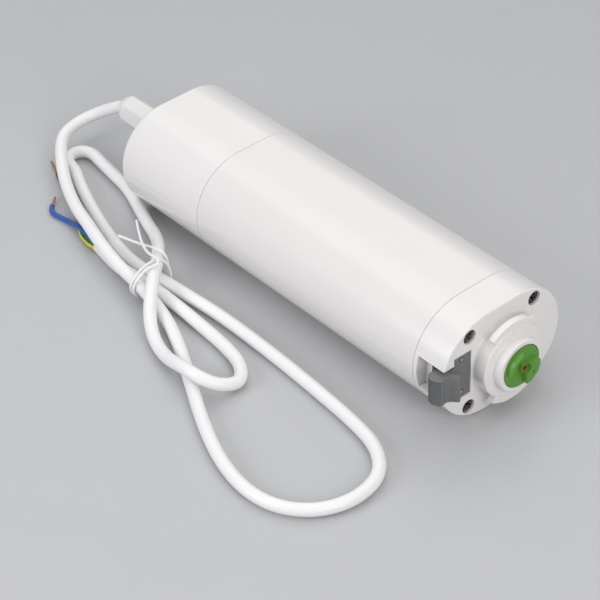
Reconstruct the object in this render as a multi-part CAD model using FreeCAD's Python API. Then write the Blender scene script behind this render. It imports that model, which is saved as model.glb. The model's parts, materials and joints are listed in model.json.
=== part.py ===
import FreeCAD, Part
import math
import os

# Curtain motor with a tubular housing, lying on its flat side, output at +X, +Z up.
# The origin is the centre of the flat face it rests on. All sizes are in millimetres.

# Housing
body_width = 70.0
body_height = 52.0
body_length = 218.0
output_cap_length = 17.7
rear_cap_length = 57.0
tube_wall = 1.8
rear_cap_wall = 2.4
rear_end_wall = 4.0
rear_edge_fillet = 2.2
face_edge_fillet = 0.6
seam_width = 0.35           # the fine groove where a cap meets the tube
seam_depth = 0.4
spigot_length = 8.0
spigot_wall = 1.2
slip_gap = 0.1              # between a spigot and the tube it plugs into
run_gap = 0.3               # round a piece that moves past a fixed one
shaft_gap = 0.05            # a shaft in its bush
cut_past = 1.0              # how far a cut reaches past the surface it opens
same_place = 0.01           # places closer than this count as one

# Corner screws
screw_edge = 4.53           # from the housing's round side to a screw's centre
screw_turn = 62.24          # degrees round that side from level
screw_hole_radius = 3.5
screw_hole_depth = 3.3
screw_head_radius = 3.0
screw_head_height = 2.2
screw_shank_radius = 1.45
screw_grip = 7.0            # how far a screw reaches into the tube's channel
screw_socket_radius = 1.15
screw_socket_depth = 1.2
screw_shank_clearance = 0.15
channel_radius = 2.9
channel_slit = 1.6
rear_post_wall = 1.3

# Bayonet boss on the output cap
boss_radius = 17.4
boss_height = 7.6
boss_base_fillet = 1.2
boss_edge_fillet = 0.5
lug_radius = 20.8
lug_back = 4.5
lug_front = 7.4
lug_half_angle = 36.5
lug_root = 1.0              # how deep a lug starts inside the boss
lug_edge_fillet = 0.4
nose_radius = 12.5
nose_height = 12.1
nose_base_fillet = 0.6
pip_radius = 0.7            # a moulding mark on the boss, above the nose
pip_height = 0.3
pip_place = 15.3

# Output coupling
coupling_radius = 10.2
coupling_thickness = 3.0
coupling_web = 1.4          # between the shaft's end and the coupling's front
coupling_hub_radius = 6.0
coupling_collar_radius = 2.1
coupling_collar_height = 2.0
coupling_pin_hole_radius = 0.55
coupling_pin_hole_depth = 1.6
dog_height = 3.1
dog_root = 1.0              # how deep a dog starts inside the disc
arc_dog_inner = 7.8
arc_dog_outer = 9.7
arc_dog_centre = 140.0
arc_dog_half_angle = 42.0
claw_inner = 2.9
claw_outer = 8.4
claw_centre = -40.0
claw_half_angle = 47.0
output_shaft_radius = 4.0
shaft_shoulder = 2.0
coupling_screw_radius = 1.0
coupling_screw_head_radius = 1.5
coupling_screw_head_height = 1.2
coupling_screw_sunk = 0.3   # the head's top below the collar's
coupling_screw_length = 9.0
coupling_socket_flats = 1.5
coupling_socket_depth = 0.7

# Bearings
bush_radius = 7.0
bush_length = 8.0
bush_flange_radius = 9.0
bush_flange_thickness = 1.5
motor_bearing_radius = 5.0
motor_bearing_length = 4.0
rear_bearing_seat = 1.5

# Planetary gearbox, two equal stages
gear_modules_high = 65.0    # the housing's height in gear modules
sun_teeth = 12
planet_teeth = 18
ring_teeth = 48
planet_count = 3
pressure_angle = 25.0
gear_addendum = 0.9         # of the module
gear_dedendum = 1.2         # of the module
gear_backlash = 0.14
flank_steps = 3
ring_wall = 2.4
ring_front_wall = 2.5
ring_nose_radius = 16.0
ring_nose_length = 7.0
planet_width = 8.0
planet_pin_radius = 1.5
stage_gap = 0.4
output_carrier_thickness = 4.0
input_carrier_thickness = 3.0
carrier_edge_gap = 1.0
carrier_notch_radius = 6.5
carrier_notch_out = 3.0     # from the carrier's edge to the notch's centre
gearbox_plate_thickness = 3.0

# Motor
motor_radius = 18.0
motor_length = 62.0
motor_can_wall = 1.2
motor_front_wall = 2.0
motor_boss_radius = 6.4
motor_shaft_radius = 1.58
motor_tail = 6.0
magnet_thickness = 4.0
magnet_half_angle = 66.0
magnet_overhang = 2.0       # past the armature at each end
air_gap = 0.6
armature_length = 27.0
armature_front_gap = 13.5
armature_slots = 7
armature_slot_width = 2.2
armature_slot_depth = 4.2
winding_length = 6.0
winding_inner = 3.4
winding_step = 1.2          # the windings below the armature's face
winding_edge_fillet = 1.6
commutator_radius = 4.6
commutator_length = 7.0
commutator_gap = 1.0
commutator_slit_width = 0.4
commutator_slit_depth = 0.8
brush_width = 3.0
brush_length = 5.5
brush_gap = 0.08
brush_end_gap = 1.0         # from a brush to each end of the commutator
holder_wall = 1.2
holder_gap = 1.0            # between a holder and the commutator
holder_end = 2.0            # past the brush
end_bell_length = 7.0
encoder_magnet_radius = 6.0
encoder_magnet_thickness = 3.0
encoder_magnet_gap = 1.0    # to the board
encoder_post_radius = 1.4
encoder_post_offset = 13.0
encoder_board_radius = 16.5
encoder_sensor_half = 2.5
encoder_sensor_thickness = 0.7
board_thickness = 1.6
cradle_length = 9.0
cradle_gap = 0.2
cradle_hole_radius = 4.0
cradle_hole_wall = 3.5      # between a side hole and the motor

# Electronics
tray_width = 40.0
tray_thickness = 2.0
tray_rail_height = 9.0
tray_rail_thickness = 2.0
tray_level = 9.0
tray_front_gap = 4.0
tray_rib_half = 2.0
tray_rib_edge = 5.0         # from an end of the board to the middle of a rib
board_rail_step = 3.0
board_front_gap = 1.0
board_back_room = 12.0      # behind the board, for the cord's stripped end
power_board_margin = 0.3
locknut_room = 3.0
transformer_size = 19.0
transformer_height = 16.0
transformer_bobbin = 13.0
transformer_overhang = 1.5  # of the winding past the core
transformer_yoke = 2.5
transformer_leg = 5.0
transformer_foot = 2.0
winding_gap = 0.2
winding_foot = 1.4
capacitor_radius = 6.0
capacitor_foot = 5.0
capacitor_foot_gap = 1.0
capacitor_foot_height = 2.0
terminal_length = 11.0
terminal_width = 18.0
terminal_pitch = 5.6
terminal_height = 9.0
terminal_screw_radius = 1.6
terminal_screw_depth = 3.0
terminal_mouth_depth = 5.0
terminal_mouth_width = 3.2
terminal_mouth_level = 2.0
radio_board_height = 16.0
radio_shield_thickness = 2.4
radio_shield_edge = 4.0
radio_shield_foot = 2.0
front_room_share = 0.36     # of the board's free length, in front of the transformer
capacitor_share = 0.40
radio_board_share = 0.55
part_gap_share = 0.04
lead_radius = 0.8
lead_rise = 6.0
lead_inset = 4.0            # from an encoder post to a motor lead
lead_back = 2.0             # from the board's front edge to a motor lead

# Latch on the side of the output cap
latch_window_half = 8.2
latch_window_length = 15.2
latch_stop_inset = 5.5      # from the housing's side to the face of the slider's stop
latch_plate_half = 11.8
latch_plate_inset = 7.2     # from the housing's side
latch_plate_depth = 9.9
latch_plate_thickness = 3.0
latch_plate_recess = 0.5
latch_travel = 5.0
latch_height = 13.6
latch_drop = 0.7            # the lever's middle below the axis
latch_root = 2.0            # how far the lever is let into the plate
latch_pad_back = 6.0
latch_pad_stand = 3.7       # how far the thumb pad stands out of the side
latch_pad_radius = 4.4
latch_pad_centre = 2.3      # behind the end face
latch_pad_end = 20.0        # degrees from level, where the round pad ends in the neck
latch_pad_ribs = 11
latch_rib_turn = 11.0       # degrees from one groove of the pad to the next
latch_rib_radius = 0.24
latch_rib_lip = 0.8         # left smooth above and below the grooves
latch_neck_hollow = 1.1
latch_beak_root = 3.4       # past the end face
latch_beak_root_inset = 4.3
latch_beak = 4.8            # past the end face
latch_beak_inset = 5.5      # from the housing's side
latch_beak_length = 2.0
latch_beak_thickness = 1.6
latch_beak_crown = 0.8
latch_throat = 1.0          # past the end face
latch_throat_inset = 6.0
latch_pin_offset = 8.8
latch_pin_radius = 0.9
latch_pin_mouth = 1.4
latch_pin_mouth_depth = 0.5
latch_spring_radius = 1.5
latch_spring_wire = 0.3
latch_spring_turns = 9

# Cable gland in the rear cap
gland_collar_radius = 10.0
gland_collar_height = 8.0
gland_hex_flats = 16.0
gland_hex_length = 5.0
gland_thread_radius = 5.9
gland_thread_length = 11.4  # into the nut
gland_thread_end = 1.0      # past the locknut
gland_nut_flats = 13.4
gland_nut_bevel = 0.45
gland_nut_length = 19.0
gland_claw_length = 10.0
gland_tip_flats = 9.0
gland_mouth_flare = 0.8
gland_mouth_depth = 5.0
gland_seal_length = 7.0
gland_seal_wall = 1.2       # of the thread round the seal
gland_locknut_flats = 15.0
gland_locknut_length = 3.5

# Mains cord and its cut end
cord_radius = 3.0
core_radius = 1.2
copper_radius = 0.7
copper_length = 6.0
tie_radius = 0.6
inner_cord_length = 4.0     # past the locknut
inner_core_radius = 0.9
core_spread = 1.95          # between the stripped cores inside
core_straight = 3.2
core_turn_room = 3.0        # in front of the terminal block
core_turn_rise = 0.4
core_turn_share = 0.97     # of the terminals' spread, reached there
core_grip = 3.0             # inside the terminal block
core_level = 3.6            # above the board
bend_share = 0.45           # of the shorter run, taken by a bend
sample_step = 1.5           # between the points that a tube's own gap is measured at
near_radii = 8.0            # radii along a tube that its own gap leaves out

# Places of the housing, worked out from the sizes above
axis_height = body_height / 2.0
round_centre = (body_width - body_height) / 2.0
body_side = body_width / 2.0
face_x = body_length / 2.0
rear_x = -body_length / 2.0
near_seam_x = face_x - output_cap_length
far_seam_x = rear_x + rear_cap_length
centre = FreeCAD.Vector(0, 0, axis_height)
along = FreeCAD.Vector(1, 0, 0)

# Places of the coupling and the latch
coupling_front_x = face_x + nose_height
coupling_back_x = coupling_front_x - coupling_thickness
coupling_shaft_x = coupling_front_x - coupling_web
coupling_collar_x = coupling_front_x + coupling_collar_height
coupling_screw_x = coupling_collar_x - coupling_screw_sunk - coupling_screw_head_height
latch_back_x = face_x - latch_window_length
latch_front_x = face_x - latch_plate_recess
latch_stop_x = face_x - latch_pad_back - latch_travel - run_gap
latch_plate_outer = body_side - latch_plate_inset
latch_plate_inner = latch_plate_outer - latch_plate_depth
latch_pin_y = -(latch_plate_inner + latch_plate_outer) / 2.0
latch_low = -latch_drop - latch_height / 2.0
latch_high = -latch_drop + latch_height / 2.0
latch_round_x = face_x - latch_pad_centre
latch_round_y = -body_side - latch_pad_stand + latch_pad_radius

# Places of the cable gland
gland_seat_x = rear_x - gland_collar_height
gland_nut_x = gland_seat_x - gland_hex_length
gland_thread_x = gland_nut_x - gland_thread_length
gland_claw_x = gland_nut_x - gland_nut_length
gland_tip_x = gland_claw_x - gland_claw_length
gland_bore = cord_radius + run_gap
gland_seal_radius = gland_thread_radius - gland_seal_wall
locknut_x = rear_x + rear_end_wall
locknut_back_x = locknut_x + gland_locknut_length
inner_cord_x = locknut_back_x + inner_cord_length

# Places of the gearbox
gear_module = body_height / gear_modules_high
sun_pitch = gear_module * sun_teeth / 2.0
planet_pitch = gear_module * planet_teeth / 2.0
ring_pitch = gear_module * ring_teeth / 2.0
planet_circle = sun_pitch + planet_pitch
carrier_radius = ring_pitch - gear_addendum * gear_module - carrier_edge_gap
ring_outer = ring_pitch + gear_dedendum * gear_module + ring_wall
ring_inner_x = near_seam_x - ring_front_wall
output_carrier_x = ring_inner_x - stage_gap - output_carrier_thickness
output_planet_x = output_carrier_x - stage_gap - planet_width
input_carrier_x = output_planet_x - stage_gap - input_carrier_thickness
input_planet_x = input_carrier_x - stage_gap - planet_width
ring_back_x = input_planet_x - stage_gap

# Places of the motor
motor_front_x = ring_back_x - gearbox_plate_thickness
motor_back_x = motor_front_x - motor_length
can_inner = motor_radius - motor_can_wall
magnet_inner = can_inner - magnet_thickness
armature_radius = magnet_inner - air_gap
winding_outer = armature_radius - winding_step
armature_x1 = motor_front_x - armature_front_gap
armature_x0 = armature_x1 - armature_length
commutator_x1 = armature_x0 - winding_length - commutator_gap
commutator_x0 = commutator_x1 - commutator_length
bell_front_x = motor_back_x + end_bell_length
front_bearing_x = motor_front_x - motor_front_wall - motor_bearing_length
rear_bearing_x = motor_back_x + rear_bearing_seat
brush_inner = commutator_radius + brush_gap
encoder_magnet_x = motor_back_x - motor_tail
encoder_board_x = encoder_magnet_x - encoder_magnet_gap - board_thickness

# Places of the electronics
tray_end_x = rear_x + rear_end_wall / 2.0
tray_wall_x = rear_x + rear_end_wall + power_board_margin
tray_front_x = encoder_board_x - tray_front_gap
board_z = board_rail_step - tray_level
board_top = board_z + board_thickness
board_half = tray_width / 2.0 - tray_rail_thickness - power_board_margin
board_front_x = tray_front_x - board_front_gap
board_back_x = locknut_back_x + board_back_room
transformer_half = transformer_size / 2.0 + transformer_overhang
free_length = board_front_x - board_back_x - terminal_length - 2.0 * transformer_half
transformer_x = board_front_x - front_room_share * free_length - transformer_half
middle_x = transformer_x - transformer_half - part_gap_share * free_length
core_low = board_top + transformer_foot
core_high = board_top + transformer_height


def cylinder(x0, x1, radius, y=0.0, z=0.0):
    start = FreeCAD.Vector(x0, y, axis_height + z)
    return Part.makeCylinder(radius, x1 - x0, start, along)


def ring(x0, x1, outer, inner, y=0.0, z=0.0):
    return cylinder(x0, x1, outer, y, z).cut(cylinder(x0, x1, inner, y, z))


def cone(x0, x1, radius0, radius1):
    return Part.makeCone(radius0, radius1, x1 - x0, FreeCAD.Vector(x0, 0, axis_height), along)


def block(x0, x1, y0, y1, z0, z1):
    return Part.makeBox(x1 - x0, y1 - y0, z1 - z0, FreeCAD.Vector(x0, y0, axis_height + z0))


def post(x, y, z0, z1, radius):
    # An upright cylinder between two heights about the axis.
    return Part.makeCylinder(radius, z1 - z0, FreeCAD.Vector(x, y, axis_height + z0))


def obround(x0, x1, inset=0.0):
    # The housing's section, a flat with a half round at each side, shrunk by the inset.
    radius = body_height / 2.0 - inset
    side = round_centre
    top = FreeCAD.Vector(x0, 0, axis_height + radius)
    low = FreeCAD.Vector(x0, 0, axis_height - radius)
    left = FreeCAD.Vector(x0, -side - radius, axis_height)
    right = FreeCAD.Vector(x0, side + radius, axis_height)
    shift = FreeCAD.Vector(0, side, 0)
    edges = [
        Part.makeLine(low - shift, low + shift),
        Part.Arc(low + shift, right, top + shift).toShape(),
        Part.makeLine(top + shift, top - shift),
        Part.Arc(top - shift, left, low - shift).toShape(),
    ]
    return Part.Face(Part.Wire(edges)).extrude(FreeCAD.Vector(x1 - x0, 0, 0))


def shell(x0, x1, outer_inset, inner_inset):
    return obround(x0, x1, outer_inset).cut(obround(x0, x1, inner_inset))


def sector(x0, x1, inner, outer, middle, half_angle):
    # Part of a ring about the axis, angles in degrees from +Y towards +Z.
    def at(radius, degrees):
        turn = math.radians(degrees)
        return FreeCAD.Vector(x0, radius * math.cos(turn), axis_height + radius * math.sin(turn))

    a, b = middle - half_angle, middle + half_angle
    edges = [
        Part.makeLine(at(inner, a), at(outer, a)),
        Part.Arc(at(outer, a), at(outer, middle), at(outer, b)).toShape(),
        Part.makeLine(at(outer, b), at(inner, b)),
        Part.Arc(at(inner, b), at(inner, middle), at(inner, a)).toShape(),
    ]
    return Part.Face(Part.Wire(edges)).extrude(FreeCAD.Vector(x1 - x0, 0, 0))


def hexagon_wire(x, flats):
    radius = flats / math.sqrt(3.0)
    turns = [i * math.pi / 3.0 for i in range(6)]
    corners = [FreeCAD.Vector(x, radius * math.cos(a), axis_height + radius * math.sin(a)) for a in turns]
    return Part.makePolygon(corners + corners[:1])


def hexagon(x0, x1, flats):
    return Part.Face(hexagon_wire(x0, flats)).extrude(FreeCAD.Vector(x1 - x0, 0, 0))


def bulged_prism(outline, z0, z1):
    # A closed outline in plan, run anticlockwise, extruded between two heights about the axis.
    # Each place is (x, y, bulge), where the bulge is how far the edge that leads to it swells outwards.
    edges = []
    level = axis_height + z0
    for before, (x, y, bulge) in zip(outline[-1:] + outline[:-1], outline):
        start = FreeCAD.Vector(before[0], before[1], level)
        stop = FreeCAD.Vector(x, y, level)
        if bulge:
            run = stop - start
            outward = FreeCAD.Vector(run.y, -run.x, 0).normalize()
            middle = (start + stop) / 2.0 + outward * bulge
            edges.append(Part.Arc(start, middle, stop).toShape())
        else:
            edges.append(Part.makeLine(start, stop))
    return Part.Face(Part.Wire(edges)).extrude(FreeCAD.Vector(0, 0, z1 - z0))


def corner_places():
    reach = body_height / 2.0 - screw_edge
    y = round_centre + reach * math.cos(math.radians(screw_turn))
    z = reach * math.sin(math.radians(screw_turn))
    return [(-y, -z), (-y, z), (y, -z), (y, z)]


def fuse(shapes):
    result = shapes[0]
    for shape in shapes[1:]:
        result = result.fuse(shape)
    return result.removeSplitter()


def cut(shape, tools):
    for tool in tools:
        shape = shape.cut(tool)
    return shape


def edges_at(shape, x):
    # The edges that lie wholly in the plane across the axis at x.
    boxes = [(edge, edge.BoundBox) for edge in shape.Edges]
    return [edge for edge, box in boxes if box.XLength < same_place and abs(box.XMin - x) < same_place]


def round_edges(shape, x, radius):
    # The full circles of one radius about the axis, in the plane across it at x.
    width = 2.0 * radius
    return [edge for edge in edges_at(shape, x) if abs(edge.BoundBox.YLength - width) < same_place]


def rounded_end(shape, size):
    # The shape with its outermost curved edge at the front rounded off.
    rims = [edge for edge in edges_at(shape, shape.BoundBox.XMax) if hasattr(edge.Curve, "Radius")]
    outermost = max(rims, key=lambda edge: edge.Curve.Radius)
    return shape.makeFillet(size, [outermost])


# Extruded tube with four screw channels inside

def make_tube():
    tube = shell(far_seam_x, near_seam_x, 0.0, tube_wall)
    outside = obround(far_seam_x, near_seam_x, tube_wall / 2.0)
    half = channel_slit / 2.0
    for y, z in corner_places():
        tube = tube.fuse(cylinder(far_seam_x, near_seam_x, channel_radius, y, z).common(outside))
    for y, z in corner_places():
        inner_y = y - math.copysign(channel_radius, y)
        slit = block(far_seam_x, near_seam_x, min(y, inner_y), max(y, inner_y), z - half, z + half)
        tube = cut(tube, [cylinder(far_seam_x, near_seam_x, screw_shank_radius, y, z), slit])
    return tube.removeSplitter()


def spigot(x0, x1):
    # The thin collar of a cap that plugs into the tube, notched for the screw channels.
    outer = tube_wall + slip_gap
    notches = [cylinder(x0, x1, channel_radius + run_gap, y, z) for y, z in corner_places()]
    return cut(shell(x0, x1, outer, outer + spigot_wall), notches)


# Output cap with its bayonet boss, screw holes, latch window and the pocket behind it

def make_output_cap():
    body = obround(near_seam_x, face_x)
    body = body.makeFillet(face_edge_fillet, edges_at(body, face_x))
    body = body.fuse(spigot(near_seam_x - spigot_length, near_seam_x))
    boss = rounded_end(cylinder(face_x, face_x + boss_height, boss_radius), boss_edge_fillet)
    body = body.fuse(boss)
    body = body.makeFillet(boss_base_fillet, round_edges(body, face_x, boss_radius))
    nose = rounded_end(cylinder(face_x, face_x + nose_height, nose_radius), boss_edge_fillet)
    body = body.fuse(nose)
    body = body.makeFillet(nose_base_fillet, round_edges(body, face_x + boss_height, nose_radius))
    pip = cylinder(face_x, face_x + boss_height + pip_height, pip_radius, 0.0, pip_place)
    cap = fuse([body, pip] + [make_lug(middle) for middle in (90.0, -90.0)])
    return cut(cap, output_cap_bores() + latch_room()).fuse(latch_stop()).removeSplitter()


def make_lug(middle):
    x0, x1 = face_x + lug_back, face_x + lug_front
    lug = sector(x0, x1, boss_radius - lug_root, lug_radius, middle, lug_half_angle)
    return rounded_end(lug, lug_edge_fillet)


def output_cap_bores():
    seat_x = face_x - bush_length
    bores = [
        cylinder(coupling_back_x - run_gap, coupling_front_x, coupling_radius + run_gap),
        cylinder(seat_x, coupling_back_x, bush_radius),
        cylinder(near_seam_x, near_seam_x + ring_nose_length, ring_nose_radius),
        cylinder(near_seam_x, seat_x, bush_flange_radius),
        shell(near_seam_x, near_seam_x + seam_width, 0.0, seam_depth),
    ]
    for y, z in corner_places():
        bores.append(cylinder(face_x - screw_hole_depth, face_x, screw_hole_radius, y, z))
        bores.append(cylinder(near_seam_x, face_x, screw_shank_radius + screw_shank_clearance, y, z))
    return bores


def latch_room():
    # The window in the cap's side, and the wider pocket behind it for the slider's plate.
    front = face_x + boss_base_fillet
    half = latch_plate_half
    pocket = block(latch_back_x, front, -latch_plate_outer, -latch_plate_inner, -half, half)
    half = latch_window_half
    window = block(latch_back_x, front, -body_width, -latch_plate_outer, -half, half)
    return [pocket, window]


def latch_stop():
    # The ledge at the back of the window that the slider's lever comes to when it is pushed in.
    half = latch_window_half
    return block(latch_back_x, latch_stop_x, latch_stop_inset - body_side, -latch_plate_outer, -half, half)


def make_screw(seat_x, side, y, z):
    # A pan head screw. Its head stands on the seat, to +X where side is 1, and its shank runs inwards.
    grip_x = near_seam_x - screw_grip if side > 0 else far_seam_x + screw_grip
    head_x = seat_x + side * screw_head_height
    socket_x = head_x - side * screw_socket_depth
    head = cylinder(min(seat_x, head_x), max(seat_x, head_x), screw_head_radius, y, z)
    shank = cylinder(min(seat_x, grip_x), max(seat_x, grip_x), screw_shank_radius, y, z)
    socket = cylinder(min(head_x, socket_x), max(head_x, socket_x), screw_socket_radius, y, z)
    return head.fuse(shank).cut(socket).removeSplitter()


def make_cap_screws():
    seat_x = face_x - screw_hole_depth
    return Part.makeCompound([make_screw(seat_x, 1, y, z) for y, z in corner_places()])


def make_rear_screws():
    seat_x = rear_x + screw_hole_depth
    return Part.makeCompound([make_screw(seat_x, -1, y, z) for y, z in corner_places()])


# Rear cap, a deep shell with screw posts and a collar for the gland

def make_rear_cap():
    outer = obround(rear_x, far_seam_x)
    outer = outer.makeFillet(rear_edge_fillet, edges_at(outer, rear_x))
    land_inset = tube_wall + slip_gap + spigot_wall
    cap = outer.cut(obround(rear_x + rear_end_wall, far_seam_x, rear_cap_wall))
    cap = cap.fuse(cylinder(gland_seat_x, locknut_x, gland_collar_radius))
    cap = cap.fuse(spigot(far_seam_x, far_seam_x + spigot_length))
    cap = cap.fuse(shell(far_seam_x - rear_cap_wall, far_seam_x, rear_cap_wall / 2.0, land_inset))
    post_radius = screw_hole_radius + rear_post_wall
    inside = obround(rear_x, far_seam_x, rear_cap_wall / 2.0)
    for y, z in corner_places():
        cap = cap.fuse(cylinder(tray_end_x, far_seam_x, post_radius, y, z).common(inside))
    tools = [
        cylinder(gland_seat_x, locknut_x, gland_thread_radius),
        shell(far_seam_x - seam_width, far_seam_x, 0.0, seam_depth),
    ]
    for y, z in corner_places():
        tools.append(cylinder(rear_x, rear_x + screw_hole_depth, screw_hole_radius, y, z))
        tools.append(cylinder(rear_x, far_seam_x, screw_shank_radius + screw_shank_clearance, y, z))
    return cut(cap, tools + [tray_slot(side) for side in (-1.0, 1.0)]).removeSplitter()


def tray_slot(side):
    # A groove in the inside of the end wall that holds one rail of the tray.
    middle = side * (tray_width - tray_rail_thickness) / 2.0
    half = tray_rail_thickness / 2.0 + slip_gap
    low, high = -tray_level - slip_gap, tray_rail_height - tray_level + slip_gap
    return block(tray_end_x - slip_gap, rear_x + rear_end_wall, middle - half, middle + half, low, high)


# Cable gland

def make_gland_body():
    thread = cylinder(gland_thread_x, locknut_back_x + gland_thread_end, gland_thread_radius)
    body = thread.fuse(hexagon(gland_nut_x, gland_seat_x, gland_hex_flats))
    bore = cylinder(gland_claw_x, locknut_back_x + gland_thread_end, gland_bore)
    seat = cylinder(gland_thread_x, gland_thread_x + gland_seal_length, gland_seal_radius)
    return cut(body, [bore, seat]).removeSplitter()


def make_gland_nut():
    # A hexagon whose corners are turned down, and a tapered hexagon that closes on the cord.
    turned = cylinder(gland_tip_x, gland_nut_x, gland_nut_flats / 2.0 + gland_nut_bevel)
    tip = hexagon_wire(gland_tip_x, gland_tip_flats)
    taper = Part.makeLoft([tip, hexagon_wire(gland_claw_x, gland_nut_flats)], True, True)
    nut = hexagon(gland_claw_x, gland_nut_x, gland_nut_flats).fuse(taper).common(turned)
    tools = [
        cylinder(gland_tip_x, gland_nut_x, gland_bore),
        cone(gland_tip_x, gland_tip_x + gland_mouth_depth, gland_bore + gland_mouth_flare, gland_bore),
        cylinder(gland_thread_x, gland_nut_x, gland_thread_radius),
        cone(gland_claw_x, gland_thread_x, gland_bore, gland_seal_radius),
    ]
    return cut(nut, tools).removeSplitter()


def make_gland_seal():
    return ring(gland_thread_x, gland_thread_x + gland_seal_length, gland_seal_radius, gland_bore)


def make_gland_locknut():
    nut = hexagon(locknut_x, locknut_back_x, gland_locknut_flats)
    return nut.cut(cylinder(locknut_x, locknut_back_x, gland_thread_radius))


# Latch: a slider with a ribbed thumb pad and a beak, on two pins with springs

def make_latch_slider():
    back_x = latch_front_x - latch_plate_thickness
    half = latch_plate_half - run_gap
    outer, inner = -latch_plate_outer + run_gap, -latch_plate_inner - run_gap
    slider = block(back_x, latch_front_x, outer, inner, -half, half).fuse(make_latch_lever())
    tools = []
    for z in (-latch_pin_offset, latch_pin_offset):
        tools.append(cylinder(back_x, latch_front_x, latch_pin_radius + shaft_gap, latch_pin_y, z))
        mouth_x = latch_front_x - latch_pin_mouth_depth
        tools.append(cylinder(mouth_x, latch_front_x, latch_pin_mouth, latch_pin_y, z))
    first = 90.0 - latch_rib_turn * (latch_pad_ribs - 1) / 2.0
    for i in range(latch_pad_ribs):
        x, y = on_pad(first + latch_rib_turn * i)
        tools.append(post(x, y, latch_low + latch_rib_lip, latch_high - latch_rib_lip, latch_rib_radius))
    return cut(slider, tools).removeSplitter()


def on_pad(degrees):
    # A place on the pad's round in plan, in degrees from the output end outwards.
    turn = math.radians(degrees)
    reach = latch_pad_radius
    return latch_round_x + reach * math.cos(turn), latch_round_y - reach * math.sin(turn)


def make_latch_lever():
    # The lever in plan: back of the pad, its round, the hollow neck, the beak and the throat under it.
    pad_x = face_x - latch_pad_back
    back_turn = math.degrees(math.acos((pad_x - latch_round_x) / latch_pad_radius))
    round_half = math.radians(back_turn - latch_pad_end) / 2.0
    crown = latch_pad_radius * (1.0 - math.cos(round_half))
    root_y = latch_root - latch_plate_outer
    throat_y = latch_throat_inset - body_side
    beak_x = face_x + latch_beak
    beak_y = latch_beak_inset - body_side
    outline = [
        (pad_x, root_y, 0.0),
        (*on_pad(back_turn), 0.0),
        (*on_pad(latch_pad_end), crown),
        (face_x + latch_beak_root, latch_beak_root_inset - body_side, -latch_neck_hollow),
        (beak_x, beak_y, 0.0),
        (beak_x - latch_beak_length, beak_y + latch_beak_thickness, latch_beak_crown),
        (face_x + latch_throat, throat_y, 0.0),
        (latch_front_x, throat_y, 0.0),
        (latch_front_x, root_y, 0.0),
    ]
    return bulged_prism(outline, latch_low, latch_high)


def make_latch_pins():
    offsets = (-latch_pin_offset, latch_pin_offset)
    pins = [cylinder(latch_back_x, latch_front_x, latch_pin_radius, latch_pin_y, z) for z in offsets]
    return Part.makeCompound(pins)


def make_latch_springs():
    # Two compression springs between the pocket's back wall and the plate.
    length = latch_front_x - latch_plate_thickness - latch_back_x
    coil_length = length - 2.0 * latch_spring_wire
    springs = []
    for z in (-latch_pin_offset, latch_pin_offset):
        start = FreeCAD.Vector(latch_back_x + latch_spring_wire, latch_pin_y, axis_height + z)
        springs.append(coil_spring(start, coil_length))
    return Part.makeCompound(springs)


def coil_spring(start, length):
    helix = Part.makeHelix(length / latch_spring_turns, length, latch_spring_radius)
    helix.Placement = FreeCAD.Placement(start, FreeCAD.Rotation(FreeCAD.Vector(0, 1, 0), 90))
    edge = Part.Wire(helix).OrderedEdges[0]
    first = edge.valueAt(edge.FirstParameter)
    tangent = edge.tangentAt(edge.FirstParameter)
    section = Part.Wire(Part.makeCircle(latch_spring_wire, first, tangent))
    return Part.Wire(helix).makePipeShell([section], True, True)


# Output coupling with its two dogs, and its screw

def make_coupling():
    root_x = coupling_front_x - dog_root
    front_x = coupling_front_x + dog_height
    whole = fuse([
        cylinder(coupling_back_x, coupling_front_x, coupling_radius),
        cylinder(face_x, coupling_back_x, coupling_hub_radius),
        sector(root_x, front_x, arc_dog_inner, arc_dog_outer, arc_dog_centre, arc_dog_half_angle),
        sector(root_x, front_x, claw_inner, claw_outer, claw_centre, claw_half_angle),
        cylinder(coupling_front_x, coupling_collar_x, coupling_collar_radius),
    ])
    turn = math.radians(claw_centre)
    place = (claw_inner + claw_outer) / 2.0
    y, z = place * math.cos(turn), place * math.sin(turn)
    tools = [
        cylinder(face_x, coupling_shaft_x, output_shaft_radius),
        cylinder(face_x, coupling_collar_x, coupling_screw_radius + shaft_gap),
        cylinder(coupling_screw_x, coupling_collar_x, coupling_screw_head_radius + shaft_gap),
        cylinder(front_x - coupling_pin_hole_depth, front_x, coupling_pin_hole_radius, y, z),
    ]
    return cut(whole, tools).removeSplitter()


def make_coupling_screw():
    head_x = coupling_screw_x + coupling_screw_head_height
    head = cylinder(coupling_screw_x, head_x, coupling_screw_head_radius)
    shank = cylinder(coupling_screw_x - coupling_screw_length, coupling_screw_x, coupling_screw_radius)
    socket = hexagon(head_x - coupling_socket_depth, head_x, coupling_socket_flats)
    return head.fuse(shank).cut(socket).removeSplitter()


def make_output_bush():
    x1 = face_x - run_gap
    x0 = face_x - bush_length
    flange_x = x0 - bush_flange_thickness
    bush = cylinder(x0, x1, bush_radius).fuse(cylinder(flange_x, x0, bush_flange_radius))
    return bush.cut(cylinder(flange_x, x1, output_shaft_radius + shaft_gap)).removeSplitter()


# Gears

def involute(base, radius):
    roll = math.sqrt(max((radius / base) ** 2 - 1.0, 0.0))
    return roll - math.atan(roll)


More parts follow.
